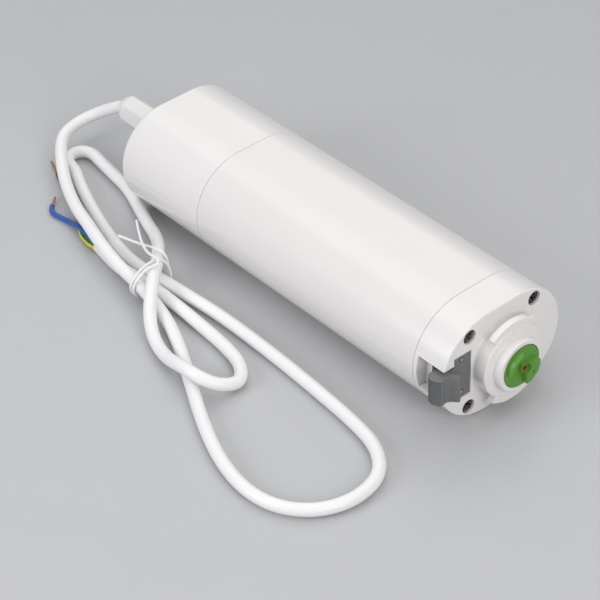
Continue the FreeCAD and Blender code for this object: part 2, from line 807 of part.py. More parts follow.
def gear_outline(x, teeth, inside, phase):
    # One closed polygon of a spur gear about the axis; an inside gear's spaces are an outside gear's teeth.
    pitch = gear_module * teeth / 2.0
    base = pitch * math.cos(math.radians(pressure_angle))
    out = (gear_dedendum if inside else gear_addendum) * gear_module
    down = (gear_addendum if inside else gear_dedendum) * gear_module
    tip, root = pitch + out, pitch - down
    low = max(base, root)
    spread = gear_backlash / 2.0 / pitch * (1.0 if inside else -1.0)
    half = math.pi / 2.0 / teeth + involute(base, pitch) + spread
    steps = [low + (tip - low) * i / flank_steps for i in range(flank_steps + 1)]
    flank = [(r, half - involute(base, r)) for r in steps]
    if root < low:
        flank = [(root, flank[0][1])] + flank
    corners = []
    for i in range(teeth):
        middle = phase + 2.0 * math.pi * i / teeth
        for r, a in flank:
            corners.append((r, middle - a))
        for r, a in reversed(flank):
            corners.append((r, middle + a))
    return [FreeCAD.Vector(x, r * math.cos(a), r * math.sin(a)) for r, a in corners]


def gear(x0, x1, teeth, y=0.0, z=0.0, phase=0.0, inside=False):
    shift = FreeCAD.Vector(0, y, axis_height + z)
    corners = [corner + shift for corner in gear_outline(x0, teeth, inside, phase)]
    return Part.Face(Part.makePolygon(corners + corners[:1])).extrude(FreeCAD.Vector(x1 - x0, 0, 0))


def planet_places():
    # Each planet's turn about the axis in radians, and its place across it.
    turns = [math.radians(360.0 / planet_count * i) for i in range(planet_count)]
    return [(turn, planet_circle * math.cos(turn), planet_circle * math.sin(turn)) for turn in turns]


def make_ring_gear():
    nose_x = near_seam_x + ring_nose_length
    body = cylinder(ring_back_x, near_seam_x, ring_outer)
    body = body.fuse(cylinder(near_seam_x, nose_x, ring_nose_radius))
    tools = [
        gear(ring_back_x, ring_inner_x, ring_teeth, inside=True, phase=math.pi / ring_teeth),
        cylinder(ring_inner_x, nose_x, bush_flange_radius + run_gap),
    ]
    return cut(body, tools).removeSplitter()


def make_planet(x0, index):
    turn, y, z = planet_places()[index]
    wheel = gear(x0, x0 + planet_width, planet_teeth, y, z, turn + math.pi / planet_teeth)
    return wheel.cut(cylinder(x0, x0 + planet_width, planet_pin_radius + shaft_gap, y, z))


def make_pins(x0, plate_depth):
    x1 = x0 + planet_width + stage_gap + plate_depth
    return Part.makeCompound([cylinder(x0, x1, planet_pin_radius, y, z) for turn, y, z in planet_places()])


def carrier_plate(x0, thickness):
    # A disc with a seat for each planet's pin and a round notch between every two planets.
    x1 = x0 + thickness
    reach = carrier_radius + carrier_notch_out
    tools = []
    for turn, y, z in planet_places():
        between = turn + math.pi / planet_count
        notch_y, notch_z = reach * math.cos(between), reach * math.sin(between)
        tools.append(cylinder(x0, x1, planet_pin_radius, y, z))
        tools.append(cylinder(x0, x1, carrier_notch_radius, notch_y, notch_z))
    return cut(cylinder(x0, x1, carrier_radius), tools)


def make_output_carrier():
    plate = carrier_plate(output_carrier_x, output_carrier_thickness)
    shoulder_x = face_x - bush_length - bush_flange_thickness - run_gap
    shoulder = cylinder(output_carrier_x, shoulder_x, output_shaft_radius + shaft_shoulder)
    shaft = cylinder(output_carrier_x, coupling_shaft_x, output_shaft_radius)
    bore = cylinder(coupling_screw_x - coupling_screw_length, coupling_shaft_x, coupling_screw_radius)
    return fuse([plate, shoulder, shaft]).cut(bore)


def make_input_carrier():
    plate = carrier_plate(input_carrier_x, input_carrier_thickness)
    sun = gear(input_carrier_x + input_carrier_thickness, output_planet_x + planet_width, sun_teeth)
    return fuse([plate, sun])


def make_motor_pinion():
    x1 = input_planet_x + planet_width
    return gear(ring_back_x, x1, sun_teeth).cut(cylinder(ring_back_x, x1, motor_shaft_radius))


def make_gearbox_plate():
    return ring(motor_front_x, ring_back_x, ring_outer, motor_boss_radius)


# Motor

def make_motor_can():
    boss_x = motor_front_x + gearbox_plate_thickness - stage_gap
    can = cylinder(motor_back_x, motor_front_x, motor_radius)
    can = can.cut(cylinder(motor_back_x, motor_front_x - motor_front_wall, can_inner))
    can = can.fuse(cylinder(front_bearing_x, boss_x, motor_boss_radius))
    tools = [
        cylinder(front_bearing_x, front_bearing_x + motor_bearing_length, motor_bearing_radius),
        cylinder(front_bearing_x, boss_x, motor_shaft_radius + run_gap),
    ]
    return cut(can, tools).removeSplitter()


def make_motor_magnets():
    x0, x1 = armature_x0 - magnet_overhang, armature_x1 + magnet_overhang
    return Part.makeCompound([
        sector(x0, x1, magnet_inner, can_inner, middle, magnet_half_angle) for middle in (90.0, -90.0)
    ])


def make_armature():
    core = cylinder(armature_x0, armature_x1, armature_radius)
    floor, top = armature_radius - armature_slot_depth, armature_radius + cut_past
    half = armature_slot_width / 2.0
    for i in range(armature_slots):
        slot = block(armature_x0, armature_x1, floor, top, -half, half)
        slot.rotate(centre, along, 360.0 / armature_slots * i)
        core = core.cut(slot)
    return core.cut(cylinder(armature_x0, armature_x1, motor_shaft_radius))


def make_armature_windings():
    front_x = armature_x1 + winding_length
    back_x = armature_x0 - winding_length
    front = ring(armature_x1, front_x, winding_outer, winding_inner)
    back = ring(back_x, armature_x0, winding_outer, winding_inner)
    return Part.makeCompound([
        half.makeFillet(winding_edge_fillet, round_edges(half, x, winding_outer))
        for half, x in ((front, front_x), (back, back_x))
    ])


def make_motor_shaft():
    return cylinder(encoder_magnet_x, input_planet_x + planet_width, motor_shaft_radius)


def make_commutator():
    body = ring(commutator_x0, commutator_x1, commutator_radius, motor_shaft_radius)
    floor, top = commutator_radius - commutator_slit_depth, commutator_radius + cut_past
    half = commutator_slit_width / 2.0
    for i in range(armature_slots):
        slit = block(commutator_x0, commutator_x1, floor, top, -half, half)
        slit.rotate(centre, along, 360.0 / armature_slots * (i + 0.5))
        body = body.cut(slit)
    return body


def make_end_bell():
    parts = [cylinder(motor_back_x, bell_front_x, can_inner)]
    half = brush_width / 2.0 + holder_wall
    post_x = encoder_board_x + board_thickness
    for side in (-1.0, 1.0):
        near = side * (brush_inner + holder_gap)
        far = side * (brush_inner + brush_length + holder_end)
        parts.append(block(bell_front_x, commutator_x1, min(near, far), max(near, far), -half, half))
        parts.append(cylinder(post_x, motor_back_x, encoder_post_radius, side * encoder_post_offset))
    tools = [
        cylinder(rear_bearing_x, bell_front_x, motor_bearing_radius),
        cylinder(motor_back_x, bell_front_x, motor_shaft_radius + run_gap),
    ]
    return cut(fuse(parts), tools + [brush_block(side, shaft_gap) for side in (-1.0, 1.0)]).removeSplitter()


def brush_block(side, grow):
    # A brush, or with a grow the room that it slides in.
    half = brush_width / 2.0 + grow
    near, far = side * brush_inner, side * (brush_inner + brush_length)
    x0 = commutator_x0 + brush_end_gap - grow
    x1 = commutator_x1 - brush_end_gap + grow
    return block(x0, x1, min(near, far) - grow, max(near, far) + grow, -half, half)


def make_brushes():
    return Part.makeCompound([brush_block(side, 0.0) for side in (-1.0, 1.0)])


def make_motor_bearings():
    return Part.makeCompound([
        ring(x, x + motor_bearing_length, motor_bearing_radius, motor_shaft_radius + shaft_gap)
        for x in (front_bearing_x, rear_bearing_x)
    ])


def make_encoder_magnet():
    x1 = encoder_magnet_x + encoder_magnet_thickness
    return ring(encoder_magnet_x, x1, encoder_magnet_radius, motor_shaft_radius)


def make_encoder_board():
    x1 = encoder_board_x + board_thickness
    half = encoder_sensor_half
    sensor = block(x1, x1 + encoder_sensor_thickness, -half, half, -half, half)
    return cylinder(encoder_board_x, x1, encoder_board_radius).fuse(sensor).removeSplitter()


def make_motor_cradle():
    x0 = motor_back_x + cradle_length
    x1 = x0 + cradle_length
    tools = [cylinder(x0, x1, motor_radius)]
    for y, z in corner_places():
        tools.append(cylinder(x0, x1, channel_radius + run_gap, y, z))
    for side in (-1.0, 1.0):
        place = side * (motor_radius + cradle_hole_wall + cradle_hole_radius)
        tools.append(cylinder(x0, x1, cradle_hole_radius, place))
    return cut(obround(x0, x1, tube_wall + cradle_gap), tools).removeSplitter()


# Electronics tray and boards

def make_board_tray():
    half = tray_width / 2.0
    floor_top = tray_thickness - tray_level
    tray = [block(tray_wall_x, tray_front_x, -half, half, -tray_level, floor_top)]
    for y in (-half, half - tray_rail_thickness):
        rail_top = tray_rail_height - tray_level
        tray.append(block(tray_end_x, tray_front_x, y, y + tray_rail_thickness, -tray_level, rail_top))
    first, last = board_back_x + tray_rib_edge, board_front_x - tray_rib_edge
    for x in (first, (board_back_x + board_front_x) / 2.0, last):
        tray.append(block(x - tray_rib_half, x + tray_rib_half, -board_half, board_half, floor_top, board_z))
    nut_room = gland_locknut_flats / math.sqrt(3.0) + run_gap
    return fuse(tray).cut(cylinder(tray_wall_x, locknut_back_x + locknut_room, nut_room))


def make_power_board():
    return block(board_back_x, board_front_x, -board_half, board_half, board_z, board_top)


def make_transformer_core():
    half = transformer_size / 2.0
    side = transformer_bobbin / 2.0
    low, high = core_low + transformer_yoke, core_high - transformer_yoke
    core = block(transformer_x - half, transformer_x + half, -half, half, core_low, core_high)
    window = block(transformer_x - half, transformer_x + half, -side, side, low, high)
    leg_half = transformer_leg / 2.0
    leg = block(transformer_x - leg_half, transformer_x + leg_half, -leg_half, leg_half, low, high)
    return core.cut(window).fuse(leg).removeSplitter()


def make_transformer_coil():
    side = transformer_bobbin / 2.0 - winding_gap
    low, high = core_low + transformer_yoke + winding_gap, core_high - transformer_yoke - winding_gap
    back, front = transformer_x - transformer_half, transformer_x + transformer_half
    coil = block(back, front, -side, side, low, high)
    hole = transformer_leg / 2.0 + winding_gap
    coil = coil.cut(block(transformer_x - hole, transformer_x + hole, -hole, hole, low, high))
    for x in (back, front - winding_foot):
        coil = coil.fuse(block(x, x + winding_foot, -side, side, board_top, low))
    return coil.removeSplitter()


def make_bulk_capacitor():
    x0 = middle_x - capacitor_share * free_length
    y = -board_half / 2.0
    foot_half = capacitor_foot / 2.0
    foot_x0, foot_x1 = x0 + capacitor_foot_gap, middle_x - capacitor_foot_gap
    foot_top = board_top + capacitor_foot_height
    body = cylinder(x0, middle_x, capacitor_radius, y, board_top + capacitor_radius)
    foot = block(foot_x0, foot_x1, y - foot_half, y + foot_half, board_top, foot_top)
    return body.fuse(foot).removeSplitter()


def make_radio_board():
    y0 = board_half / 2.0
    x0 = middle_x - radio_board_share * free_length
    top = board_top + radio_board_height
    shield_x0, shield_x1 = x0 + radio_shield_edge, middle_x - radio_shield_edge
    low, high = board_top + radio_shield_foot, top - radio_shield_edge
    board = block(x0, middle_x, y0, y0 + board_thickness, board_top, top)
    shield = block(shield_x0, shield_x1, y0 - radio_shield_thickness, y0, low, high)
    return board.fuse(shield).removeSplitter()


def make_terminal_block():
    half = terminal_width / 2.0
    top = board_top + terminal_height
    body = block(board_back_x, board_back_x + terminal_length, -half, half, board_top, top)
    middle = board_back_x + terminal_length / 2.0
    mouth_half = terminal_mouth_width / 2.0
    low = board_top + terminal_mouth_level
    high = low + terminal_mouth_width
    tools = []
    for y in (-terminal_pitch, 0.0, terminal_pitch):
        mouth_x = board_back_x + terminal_mouth_depth
        tools.append(post(middle, y, top - terminal_screw_depth, top, terminal_screw_radius))
        tools.append(block(board_back_x, mouth_x, y - mouth_half, y + mouth_half, low, high))
    return cut(body, tools)


def make_motor_leads():
    # Two wires from the power board up and over to the encoder board's edge.
    leads = []
    low = axis_height + board_top
    x = board_front_x - lead_back
    for side in (-1.0, 1.0):
        y = side * (encoder_post_offset - lead_inset)
        route = [(x, y, low), (x, y, low + lead_rise), (encoder_board_x - slip_gap, y, low + lead_rise)]
        leads.append(make_tube_along("motor lead", route, lead_radius))
    return Part.makeCompound(leads)


# Mains cord: where it leaves the gland, the strands tied side by side, and the cut end

cord_points = [
    (-142.6, 0.0, 26.0),
    (-151.0, 0.0, 26.0),
    (-159.6, -2.0, 22.3),
    (-168.4, -4.8, 16.8),
    (-175.3, -10.0, 12.7),
    (-176.4, -18.8, 10.4),
    (-168.6, -28.4, 8.8),
    (-154.2, -38.7, 7.8),
    (-138.5, -47.5, 7.5),
    (-119.6, -55.6, 8.4),
    (-104.7, -59.9, 9.3),
    (-91.0, -64.4, 10.2),
    (-76.6, -67.9, 9.9),
    (-64.6, -69.4, 9.0),
    (-53.6, -70.1, 8.3),
    (-44.0, -70.8, 6.4),
    (-35.0, -71.6, 3.9),
    (-23.4, -75.0, 3.1),
    (-7.6, -82.0, 3.1),
    (14.7, -94.0, 3.1),
    (37.7, -106.2, 3.1),
    (60.5, -115.5, 3.1),
    (81.1, -119.2, 3.1),
    (97.9, -115.8, 3.1),
    (110.2, -105.2, 3.1),
    (115.6, -89.5, 3.1),
    (111.0, -73.3, 3.1),
    (98.0, -63.0, 3.1),
    (79.1, -58.1, 3.1),
    (54.4, -56.0, 3.1),
    (29.4, -54.4, 3.1),
    (4.8, -53.6, 3.1),
    (-17.1, -53.6, 3.1),
    (-36.0, -55.7, 3.8),
    (-51.6, -57.9, 5.0),
    (-64.0, -58.6, 4.2),
    (-79.0, -57.2, 3.1),
    (-99.0, -52.6, 3.1),
    (-122.9, -44.6, 3.1),
    (-140.6, -37.4, 3.1),
    (-152.6, -31.6, 3.1),
    (-159.3, -24.7, 3.1),
    (-158.6, -16.6, 3.1),
    (-150.5, -13.6, 3.1),
    (-136.0, -18.3, 3.1),
    (-116.5, -26.8, 3.1),
    (-92.0, -34.9, 4.0),
    (-73.6, -42.2, 8.0),
    (-60.0, -52.4, 11.7),
    (-51.0, -61.0, 13.6),
    (-42.6, -69.8, 13.9),
    (-35.4, -77.4, 8.8),
    (-27.6, -83.2, 4.9),
    (-17.5, -87.8, 3.4),
    (-5.1, -91.4, 5.2),
    (8.0, -93.2, 9.9),
    (17.0, -91.8, 9.9),
    (23.2, -86.0, 5.9),
    (24.2, -78.2, 3.2),
    (17.0, -71.6, 3.1),
    (2.0, -66.6, 3.1),
    (-16.0, -64.4, 3.1),
    (-34.0, -63.7, 3.8),
    (-51.6, -64.4, 5.0),
    (-63.6, -65.0, 4.1),
    (-74.4, -65.2, 3.1),
    (-84.4, -63.9, 3.1),
    (-93.8, -62.1, 3.1),
]
brown_points = [
    (-93.7, -60.75, 3.9),
    (-98.2, -59.3, 3.6),
    (-104.6, -56.6, 1.9),
    (-112.0, -54.9, 1.3),
    (-123.6, -51.0, 1.3),
    (-134.6, -47.2, 1.3),
    (-145.0, -43.9, 1.3),
    (-151.0, -43.2, 1.3),
    (-156.6, -41.3, 1.3),
]
earth_points = [
    (-94.25, -63.4, 3.9),
    (-98.8, -62.5, 4.1),
    (-104.4, -62.6, 4.1),
    (-110.0, -61.2, 4.0),
    (-114.4, -57.8, 3.9),
    (-118.9, -55.6, 1.9),
    (-123.8, -54.4, 1.3),
]
blue_points = [
    (-93.95, -62.1, 1.5),
    (-98.6, -61.3, 1.3),
    (-104.2, -60.7, 1.3),
    (-110.6, -59.4, 1.3),
    (-117.2, -58.7, 1.3),
    (-123.9, -59.6, 1.3),
    (-129.6, -60.9, 1.3),
    (-134.6, -60.6, 1.3),
    (-137.2, -57.6, 1.3),
]
tie_points = [
    (-84.6, -45.8, 14.6),
    (-74.6, -52.2, 16.0),
    (-64.4, -57.6, 17.2),
    (-56.4, -60.6, 18.6),
    (-49.4, -60.4, 19.9),
    (-46.9, -62.4, 18.8),
    (-49.5, -65.9, 17.6),
    (-51.2, -71.0, 13.6),
    (-51.4, -75.4, 7.8),
    (-51.3, -70.6, 0.8),
    (-51.0, -53.4, 0.7),
    (-50.8, -52.6, 8.6),
    (-51.5, -56.6, 16.9),
    (-52.3, -63.6, 17.6),
    (-53.2, -71.0, 13.8),
    (-53.3, -75.4, 7.8),
    (-53.2, -70.6, 0.8),
    (-52.9, -53.4, 0.7),
    (-52.7, -52.4, 8.6),
    (-52.6, -53.6, 16.4),
    (-56.0, -54.6, 18.2),
    (-62.8, -54.6, 16.0),
    (-72.8, -55.8, 13.6),
    (-83.8, -57.2, 12.2),
]


def rounded_route(points):
    # Straight runs joined by tangent arcs, each as large as its two runs allow.
    vectors = [FreeCAD.Vector(*point) for point in points]
    edges, radii = [], []
    last = vectors[0]
    for before, here, after in zip(vectors, vectors[1:], vectors[2:]):
        back = before - here
        ahead = after - here
        half_turn = (math.pi - back.getAngle(ahead)) / 2.0
        trim = bend_share * min(back.Length, ahead.Length)
        bend = trim / math.tan(half_turn)
        back.normalize()
        ahead.normalize()
        start = here + back * trim
        stop = here + ahead * trim
        inward = (back + ahead).normalize()
        middle = here + inward * (bend / math.cos(half_turn) - bend)
        edges.append(Part.LineSegment(last, start).toShape())
        edges.append(Part.Arc(start, middle, stop).toShape())
        radii.append(bend)
        last = stop
    edges.append(Part.LineSegment(last, vectors[-1]).toShape())
    return edges, radii


def least_self_gap(edges, radius, skip):
    # The narrowest space between parts of a tube that lie further apart along it than the skip.
    samples, travelled = [], []
    total = 0.0
    for edge in edges:
        count = max(2, int(edge.Length / sample_step))
        span = edge.LastParameter - edge.FirstParameter
        for i in range(count):
            samples.append(edge.valueAt(edge.FirstParameter + span * i / count))
            travelled.append(total + edge.Length * i / count)
        total += edge.Length
    least = None
    for i, here in enumerate(samples):
        for j in range(i + 1, len(samples)):
            if travelled[j] - travelled[i] > skip:
                gap = (samples[j] - here).Length - 2.0 * radius
                least = gap if least is None else min(least, gap)
    return least


def make_tube_along(name, points, radius):
    edges, radii = rounded_route(points)
    path = Part.Wire(edges)
    first = edges[0]
    start, ahead = first.valueAt(first.FirstParameter), first.tangentAt(first.FirstParameter)
    circle = Part.makeCircle(radius, start, ahead)
    solid = path.makePipeShell([Part.Wire(circle)], True, False)
    expected = math.pi * radius ** 2 * path.Length
    print(name, "length", round(path.Length, 1), "least bend radius", round(min(radii), 1))
    print(name, "volume", round(solid.Volume, 1), "section times length", round(expected, 1))
    gap = least_self_gap(edges, radius, near_radii * radius)
    if gap is not None:
        print(name, "least gap to itself", round(gap, 2))
    return solid


def make_inner_cord():
    return cylinder(cord_points[0][0], inner_cord_x, cord_radius)


def make_inner_leads():
    # The cord's three cores, from its stripped end to the terminal block.
    leads = []
    level = axis_height + board_top + core_level
    for i in (-1, 0, 1):
        y = i * terminal_pitch
        route = [
            (inner_cord_x + slip_gap, core_spread * i, axis_height),
            (inner_cord_x + core_straight, core_spread * i, axis_height),
            (board_back_x - core_turn_room, y * core_turn_share, level + core_turn_rise),
            (board_back_x + core_grip, y, level),
        ]
        leads.append(make_tube_along("inner lead", route, inner_core_radius))
    return Part.makeCompound(leads)


def make_wire_tips():
    tips = []
    for points in (brown_points, earth_points, blue_points):
        end = FreeCAD.Vector(*points[-1])
        direction = (end - FreeCAD.Vector(*points[-2])).normalize()
        tips.append(Part.makeCylinder(copper_radius, copper_length, end, direction))
    return Part.makeCompound(tips)


builders = {
    "tube": make_tube,
    "output_cap": make_output_cap,
    "rear_cap": make_rear_cap,
    "cap_screws": make_cap_screws,
    "rear_screws": make_rear_screws,
    "gland_body": make_gland_body,
    "gland_nut": make_gland_nut,
    "gland_seal": make_gland_seal,
    "gland_locknut": make_gland_locknut,
    "latch_slider": make_latch_slider,
    "latch_pins": make_latch_pins,
    "latch_springs": make_latch_springs,
    "coupling": make_coupling,
    "coupling_screw": make_coupling_screw,
    "output_bush": make_output_bush,
    "ring_gear": make_ring_gear,
    "output_carrier": make_output_carrier,
    "output_planet_pins": lambda: make_pins(output_planet_x, output_carrier_thickness),
    "input_carrier": make_input_carrier,
    "input_planet_pins": lambda: make_pins(input_planet_x, input_carrier_thickness),
    "motor_pinion": make_motor_pinion,
    "gearbox_plate": make_gearbox_plate,
    "motor_can": make_motor_can,
    "motor_magnets": make_motor_magnets,
    "armature": make_armature,
    "armature_windings": make_armature_windings,
    "motor_shaft": make_motor_shaft,
    "commutator": make_commutator,
    "motor_end_bell": make_end_bell,
    "motor_brushes": make_brushes,
    "motor_bearings": make_motor_bearings,
    "encoder_magnet": make_encoder_magnet,
    "encoder_board": make_encoder_board,
    "motor_cradle": make_motor_cradle,
    "board_tray": make_board_tray,
    "power_board": make_power_board,
    "transformer_core": make_transformer_core,
    "transformer_coil": make_transformer_coil,
    "bulk_capacitor": make_bulk_capacitor,
    "radio_board": make_radio_board,
    "terminal_block": make_terminal_block,
    "motor_leads": make_motor_leads,
    "inner_cord": make_inner_cord,
    "inner_leads": make_inner_leads,
    "cord": lambda: make_tube_along("cord", cord_points, cord_radius),
    "wire_brown": lambda: make_tube_along("wire_brown", brown_points, core_radius),
    "wire_earth": lambda: make_tube_along("wire_earth", earth_points, core_radius),
    "wire_blue": lambda: make_tube_along("wire_blue", blue_points, core_radius),
    "wire_tips": make_wire_tips,
    "twist_tie": lambda: make_tube_along("twist_tie", tie_points, tie_radius),
}
for number in range(planet_count):
    builders[f"output_planet_{number + 1}"] = lambda n=number: make_planet(output_planet_x, n)
    builders[f"input_planet_{number + 1}"] = lambda n=number: make_planet(input_planet_x, n)

os.makedirs("parts", exist_ok=True)
for name, build in builders.items():
    shape = build()
    valid = all(s.isValid() for s in shape.Solids)
    print(name, "solids", len(shape.Solids), "valid", valid, "volume", round(shape.Volume, 1))
    shape.exportStep(f"parts/{name}.step")
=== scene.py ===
import json
import math

import bmesh
import bpy
from mathutils import Matrix, Vector


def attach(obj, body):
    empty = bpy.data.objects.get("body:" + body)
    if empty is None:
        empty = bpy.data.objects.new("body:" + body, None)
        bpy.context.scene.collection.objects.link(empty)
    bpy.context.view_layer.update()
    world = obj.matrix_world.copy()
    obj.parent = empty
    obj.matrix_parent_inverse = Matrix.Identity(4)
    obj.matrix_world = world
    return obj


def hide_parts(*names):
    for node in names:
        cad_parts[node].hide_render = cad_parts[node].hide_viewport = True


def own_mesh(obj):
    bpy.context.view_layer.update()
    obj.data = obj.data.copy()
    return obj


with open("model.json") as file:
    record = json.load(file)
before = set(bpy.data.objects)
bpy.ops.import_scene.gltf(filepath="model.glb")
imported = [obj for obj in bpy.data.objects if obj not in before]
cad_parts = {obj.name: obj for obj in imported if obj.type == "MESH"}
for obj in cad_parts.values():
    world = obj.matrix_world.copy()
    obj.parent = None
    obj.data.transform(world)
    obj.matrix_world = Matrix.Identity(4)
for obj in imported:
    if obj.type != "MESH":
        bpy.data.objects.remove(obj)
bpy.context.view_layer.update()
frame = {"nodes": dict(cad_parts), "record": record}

mm = 0.001               # sizes are in mm unless a heading says metres
axisHeight = 26.0        # of the motor's axis over the floor
bpy.context.scene.view_settings.view_transform = "Standard"
print("frame loaded")


# Shader maths written as plain sums

class Shade:
    def __init__(self, tree, socket=None):
        self.tree = tree
        self.socket = socket

    def add(self, kind, settings=None, inputs=None, output=0):
        made = self.tree.nodes.new(kind)
        for name, value in (settings or {}).items():
            if name == "stops":
                self.fillRamp(made.color_ramp, value)
            else:
                setattr(made, name, value)
        for name, value in (inputs or {}).items():
            if isinstance(value, Shade):
                self.tree.links.new(value.socket, made.inputs[name])
            else:
                made.inputs[name].default_value = value
        return Shade(self.tree, made.outputs[output])

    def fillRamp(self, colourRamp, stops):
        while len(colourRamp.elements) < len(stops):
            colourRamp.elements.new(1.0)
        for element, (place, tone) in zip(colourRamp.elements, stops):
            element.position = place
            element.color = (tone, tone, tone, 1.0)

    def maths(self, operation, first, second):
        return self.add("ShaderNodeMath", {"operation": operation}, {0: first, 1: second})

    def __add__(self, other):
        return self.maths("ADD", self, other)

    def __sub__(self, other):
        return self.maths("SUBTRACT", self, other)

    def __rsub__(self, other):
        return self.maths("SUBTRACT", other, self)

    def __mul__(self, other):
        return self.maths("MULTIPLY", self, other)

    __radd__ = __add__
    __rmul__ = __mul__


def noise(shade, where, scale, detail, roughness=0.5):
    values = {"Vector": where, "Scale": scale, "Detail": detail, "Roughness": roughness}
    return shade.add("ShaderNodeTexNoise", None, values)


def ramp(shade, value, *stops):
    return shade.add("ShaderNodeValToRGB", {"stops": stops}, {"Fac": value})


def colourMix(shade, factor, first, second):
    # 6 and 7 are the mix node's colour inputs and 2 its colour output
    return shade.add("ShaderNodeMix", {"data_type": "RGBA"}, {"Factor": factor, 6: first, 7: second}, 2)


def stretched(shade, where, scales):
    return shade.add("ShaderNodeMapping", None, {"Vector": where, "Scale": scales})


# Finishes, one for each slot of the record.
# Clouds and grain mix tone with shadeTone. grain is a count to the metre, and bump is its height in mm.
# rough varies by spread, coat is the weight of a gloss coat, and stretch draws the grain out along an axis.
# patch gives the tone of worn spots, their grain and where in the noise they begin.
# scuff is how much rougher hairline marks are, and stripe is the tone of the earth core's second colour.
# surfaceLook gives cloudNoise as scale and detail, fineNoise and patchNoise as detail and roughness, and
# hairNoise as all three.

finishes = {
    "white_paint": {"tone": (0.845, 0.82, 0.80), "shadeTone": (0.80, 0.775, 0.755), "rough": 0.24, "spread": 0.07,
                    "grain": 1300, "bump": 0.004, "stretch": (0.2, 1, 1), "scuff": 0.05, "coat": 0.35},
    "white_plastic": {"tone": (0.855, 0.83, 0.815), "shadeTone": (0.81, 0.785, 0.77), "rough": 0.22, "spread": 0.07,
                      "grain": 900, "bump": 0.004, "scuff": 0.08, "coat": 0.4},
    "white_nylon": {"tone": (0.87, 0.86, 0.845), "shadeTone": (0.81, 0.80, 0.785), "rough": 0.34, "spread": 0.1,
                    "grain": 1100, "bump": 0.012, "scuff": 0.05},
    "white_cord": {"tone": (0.92, 0.915, 0.91), "shadeTone": (0.87, 0.865, 0.865), "rough": 0.36, "spread": 0.1,
                   "grain": 1500, "bump": 0.015, "scuff": 0.08},
    "grey_plastic": {"tone": (0.185, 0.188, 0.19), "shadeTone": (0.14, 0.142, 0.144), "rough": 0.40,
                     "spread": 0.12, "grain": 2600, "bump": 0.02, "scuff": 0.10},
    "green_plastic": {"tone": (0.118, 0.335, 0.036), "shadeTone": (0.08, 0.25, 0.022), "rough": 0.36,
                      "spread": 0.1, "grain": 1800, "bump": 0.012, "scuff": 0.08},
    "black_plastic": {"tone": (0.022, 0.022, 0.024), "shadeTone": (0.014, 0.014, 0.015), "rough": 0.45,
                      "spread": 0.12, "grain": 2200, "bump": 0.02},
    "black_rubber": {"tone": (0.02, 0.02, 0.02), "shadeTone": (0.012, 0.012, 0.012), "rough": 0.7,
                     "spread": 0.1, "grain": 1800, "bump": 0.02},
    "screw_steel": {"tone": (0.075, 0.07, 0.066), "shadeTone": (0.035, 0.033, 0.032), "rough": 0.36, "spread": 0.16,
                    "grain": 2600, "bump": 0.012, "metal": 0.85, "patch": ((0.42, 0.40, 0.37), 900, 0.60)},
    "bright_steel": {"tone": (0.62, 0.62, 0.63), "shadeTone": (0.45, 0.45, 0.46), "rough": 0.24, "spread": 0.14,
                     "grain": 2400, "bump": 0.008, "metal": 1.0, "stretch": (0.08, 1, 1)},
    "gear_steel": {"tone": (0.50, 0.50, 0.51), "shadeTone": (0.33, 0.33, 0.34), "rough": 0.32, "spread": 0.16,
                   "grain": 1600, "bump": 0.01, "metal": 1.0, "stretch": (1, 0.15, 1)},
    "motor_steel": {"tone": (0.56, 0.56, 0.56), "shadeTone": (0.40, 0.40, 0.41), "rough": 0.34, "spread": 0.16,
                    "grain": 900, "bump": 0.01, "metal": 1.0, "stretch": (0.1, 1, 1)},
    "copper_screw": {"tone": (0.40, 0.085, 0.05), "shadeTone": (0.20, 0.045, 0.03), "rough": 0.38, "spread": 0.14,
                     "grain": 2600, "bump": 0.01, "metal": 0.5},
    "sintered_bronze": {"tone": (0.46, 0.30, 0.13), "shadeTone": (0.30, 0.19, 0.08), "rough": 0.5, "spread": 0.16,
                        "grain": 3600, "bump": 0.02, "metal": 1.0},
    "brass_gear": {"tone": (0.66, 0.47, 0.17), "shadeTone": (0.48, 0.33, 0.11), "rough": 0.28, "spread": 0.14,
                   "grain": 1800, "bump": 0.008, "metal": 1.0},
    "copper_wire": {"tone": (0.72, 0.36, 0.19), "shadeTone": (0.42, 0.19, 0.09), "rough": 0.32, "spread": 0.16,
                    "grain": 2600, "bump": 0.012, "metal": 0.8},
    "magnet_black": {"tone": (0.045, 0.045, 0.048), "shadeTone": (0.03, 0.03, 0.032), "rough": 0.55, "spread": 0.15,
                     "grain": 3000, "bump": 0.02, "metal": 0.3},
    "green_board": {"tone": (0.018, 0.13, 0.05), "shadeTone": (0.012, 0.09, 0.035), "rough": 0.3, "spread": 0.12,
                    "grain": 700, "bump": 0.01},
    "yellow_tape": {"tone": (0.68, 0.50, 0.05), "shadeTone": (0.52, 0.37, 0.03), "rough": 0.35, "spread": 0.12,
                    "grain": 800, "bump": 0.02},
    "lead_red": {"tone": (0.40, 0.02, 0.018), "shadeTone": (0.28, 0.014, 0.012), "rough": 0.4, "spread": 0.1,
                 "grain": 1800, "bump": 0.012},
    "wire_brown": {"tone": (0.17, 0.06, 0.025), "shadeTone": (0.12, 0.042, 0.018), "rough": 0.34, "spread": 0.1,
                   "grain": 1800, "bump": 0.012},
    "wire_blue": {"tone": (0.022, 0.125, 0.47), "shadeTone": (0.014, 0.085, 0.35), "rough": 0.32, "spread": 0.1,
                  "grain": 1800, "bump": 0.012},
    "wire_earth": {"tone": (0.80, 0.62, 0.045), "shadeTone": (0.68, 0.51, 0.035), "rough": 0.32, "spread": 0.1,
                   "grain": 1800, "bump": 0.012, "stripe": (0.03, 0.26, 0.06)},
}
